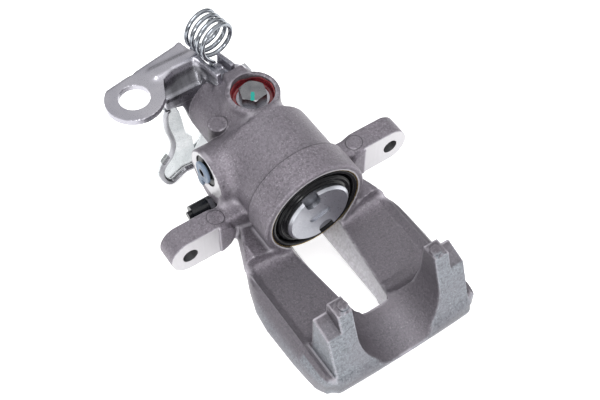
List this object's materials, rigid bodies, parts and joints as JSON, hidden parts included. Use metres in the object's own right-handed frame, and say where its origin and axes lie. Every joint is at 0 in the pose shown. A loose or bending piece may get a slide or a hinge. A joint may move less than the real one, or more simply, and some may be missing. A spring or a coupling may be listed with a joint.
{
  "type": "brake caliper",
  "caption": "Floating rear brake caliper in cast aluminium with one piston, bridge and fingers over the pads, guide ears and a sprung parking lever with its cable bracket.",
  "frame": {"origin": "centre of the cylinder mouth, on the piston axis", "axes": "+X along the two guide ears, +Y along the piston axis away from the disc towards the parking lever, +Z towards the finger tips"},
  "size_m": [0.1448, 0.1908, 0.111],
  "materials": {
    "cast_aluminium": "blasted sand casting with machined faces",
    "chromed_steel": "mirror",
    "black_rubber": "moulded, slightly glossy",
    "brass": "drawn",
    "steel": "turned",
    "bearing_steel": "ground",
    "spring_steel": "drawn",
    "bright_spring": "bright plated",
    "black_steel": "phosphated",
    "dark_steel": "hardened and ground",
    "zinc_plate": "bright zinc plate",
    "red_lacquer": "glossy sealing lacquer",
    "blue_plastic": "moulded"
  },
  "bodies": {
    "housing": {"caliper_housing": "cast_aluminium", "piston_seal": "black_rubber", "dust_boot": "black_rubber", "boot_ring": "brass", "spring_cage": "zinc_plate", "cage_circlip": "black_steel", "spindle_spring": "spring_steel", "thrust_washer": "brass", "shaft_bush": "brass", "shaft_seal": "black_rubber", "cable_bracket": "zinc_plate", "bracket_screws": "zinc_plate", "return_spring": "bright_spring", "lock_bolt": "zinc_plate", "lock_washer": "zinc_plate", "boss_sealant": "red_lacquer"},
    "spindle": {"adjuster_spindle": "steel", "ramp_plate": "dark_steel"},
    "piston_group": {"piston": "chromed_steel", "adjuster_nut": "steel", "nut_bearing": "bearing_steel", "nut_spring": "spring_steel", "nut_circlip": "black_steel"},
    "lever": {"lever_shaft": "steel", "park_lever": "zinc_plate", "lever_washer": "zinc_plate", "lever_nut": "zinc_plate"},
    "balls": {"ramp_balls": "bearing_steel", "ball_cage": "brass"},
    "bleeder": {"bleed_screw": "zinc_plate"},
    "bleeder_cap": {"bleed_cap": "black_rubber"},
    "plug": {"port_plug": "blue_plastic"}
  },
  "joints": [
    {"name": "lever_pull", "type": "hinge", "parent": "housing", "child": "lever", "pos_m": [0, 0.095, 0], "axis": [0, 1, 0], "range_deg": [0, 25], "stiffness_Nm_per_rad": 0.6, "springref_deg": -28.65, "deforming": ["return_spring"]},
    {"name": "spindle_push", "type": "slide", "parent": "housing", "child": "spindle", "axis": [0, -1, 0], "range_m": [0, 0.002], "deforming": ["spindle_spring", "dust_boot"]},
    {"name": "piston_slide", "type": "slide", "parent": "spindle", "child": "piston_group", "axis": [0, -1, 0], "range_m": [0, 0.012], "deforming": ["dust_boot"]},
    {"name": "ball_roll", "type": "hinge", "parent": "housing", "child": "balls", "pos_m": [0, 0.07, 0], "axis": [0, 1, 0], "range_deg": [0, 12.5]},
    {"name": "bleed_turn", "type": "hinge", "parent": "housing", "child": "bleeder", "pos_m": [-0.035, 0.043, -0.017], "axis": [-1, 0, 0], "range_deg": [0, 180]},
    {"name": "cap_pull", "type": "slide", "parent": "bleeder", "child": "bleeder_cap", "axis": [-1, 0, 0], "range_m": [0, 0.016]},
    {"name": "plug_pull", "type": "slide", "parent": "housing", "child": "plug", "axis": [-1, 0, 0], "range_m": [0, 0.014]}
  ],
  "couplings": [
    {"joint": "spindle_push", "follows": "lever_pull", "m_per_rad": 0.0045836},
    {"joint": "ball_roll", "follows": "lever_pull", "ratio": 0.5}
  ]
}
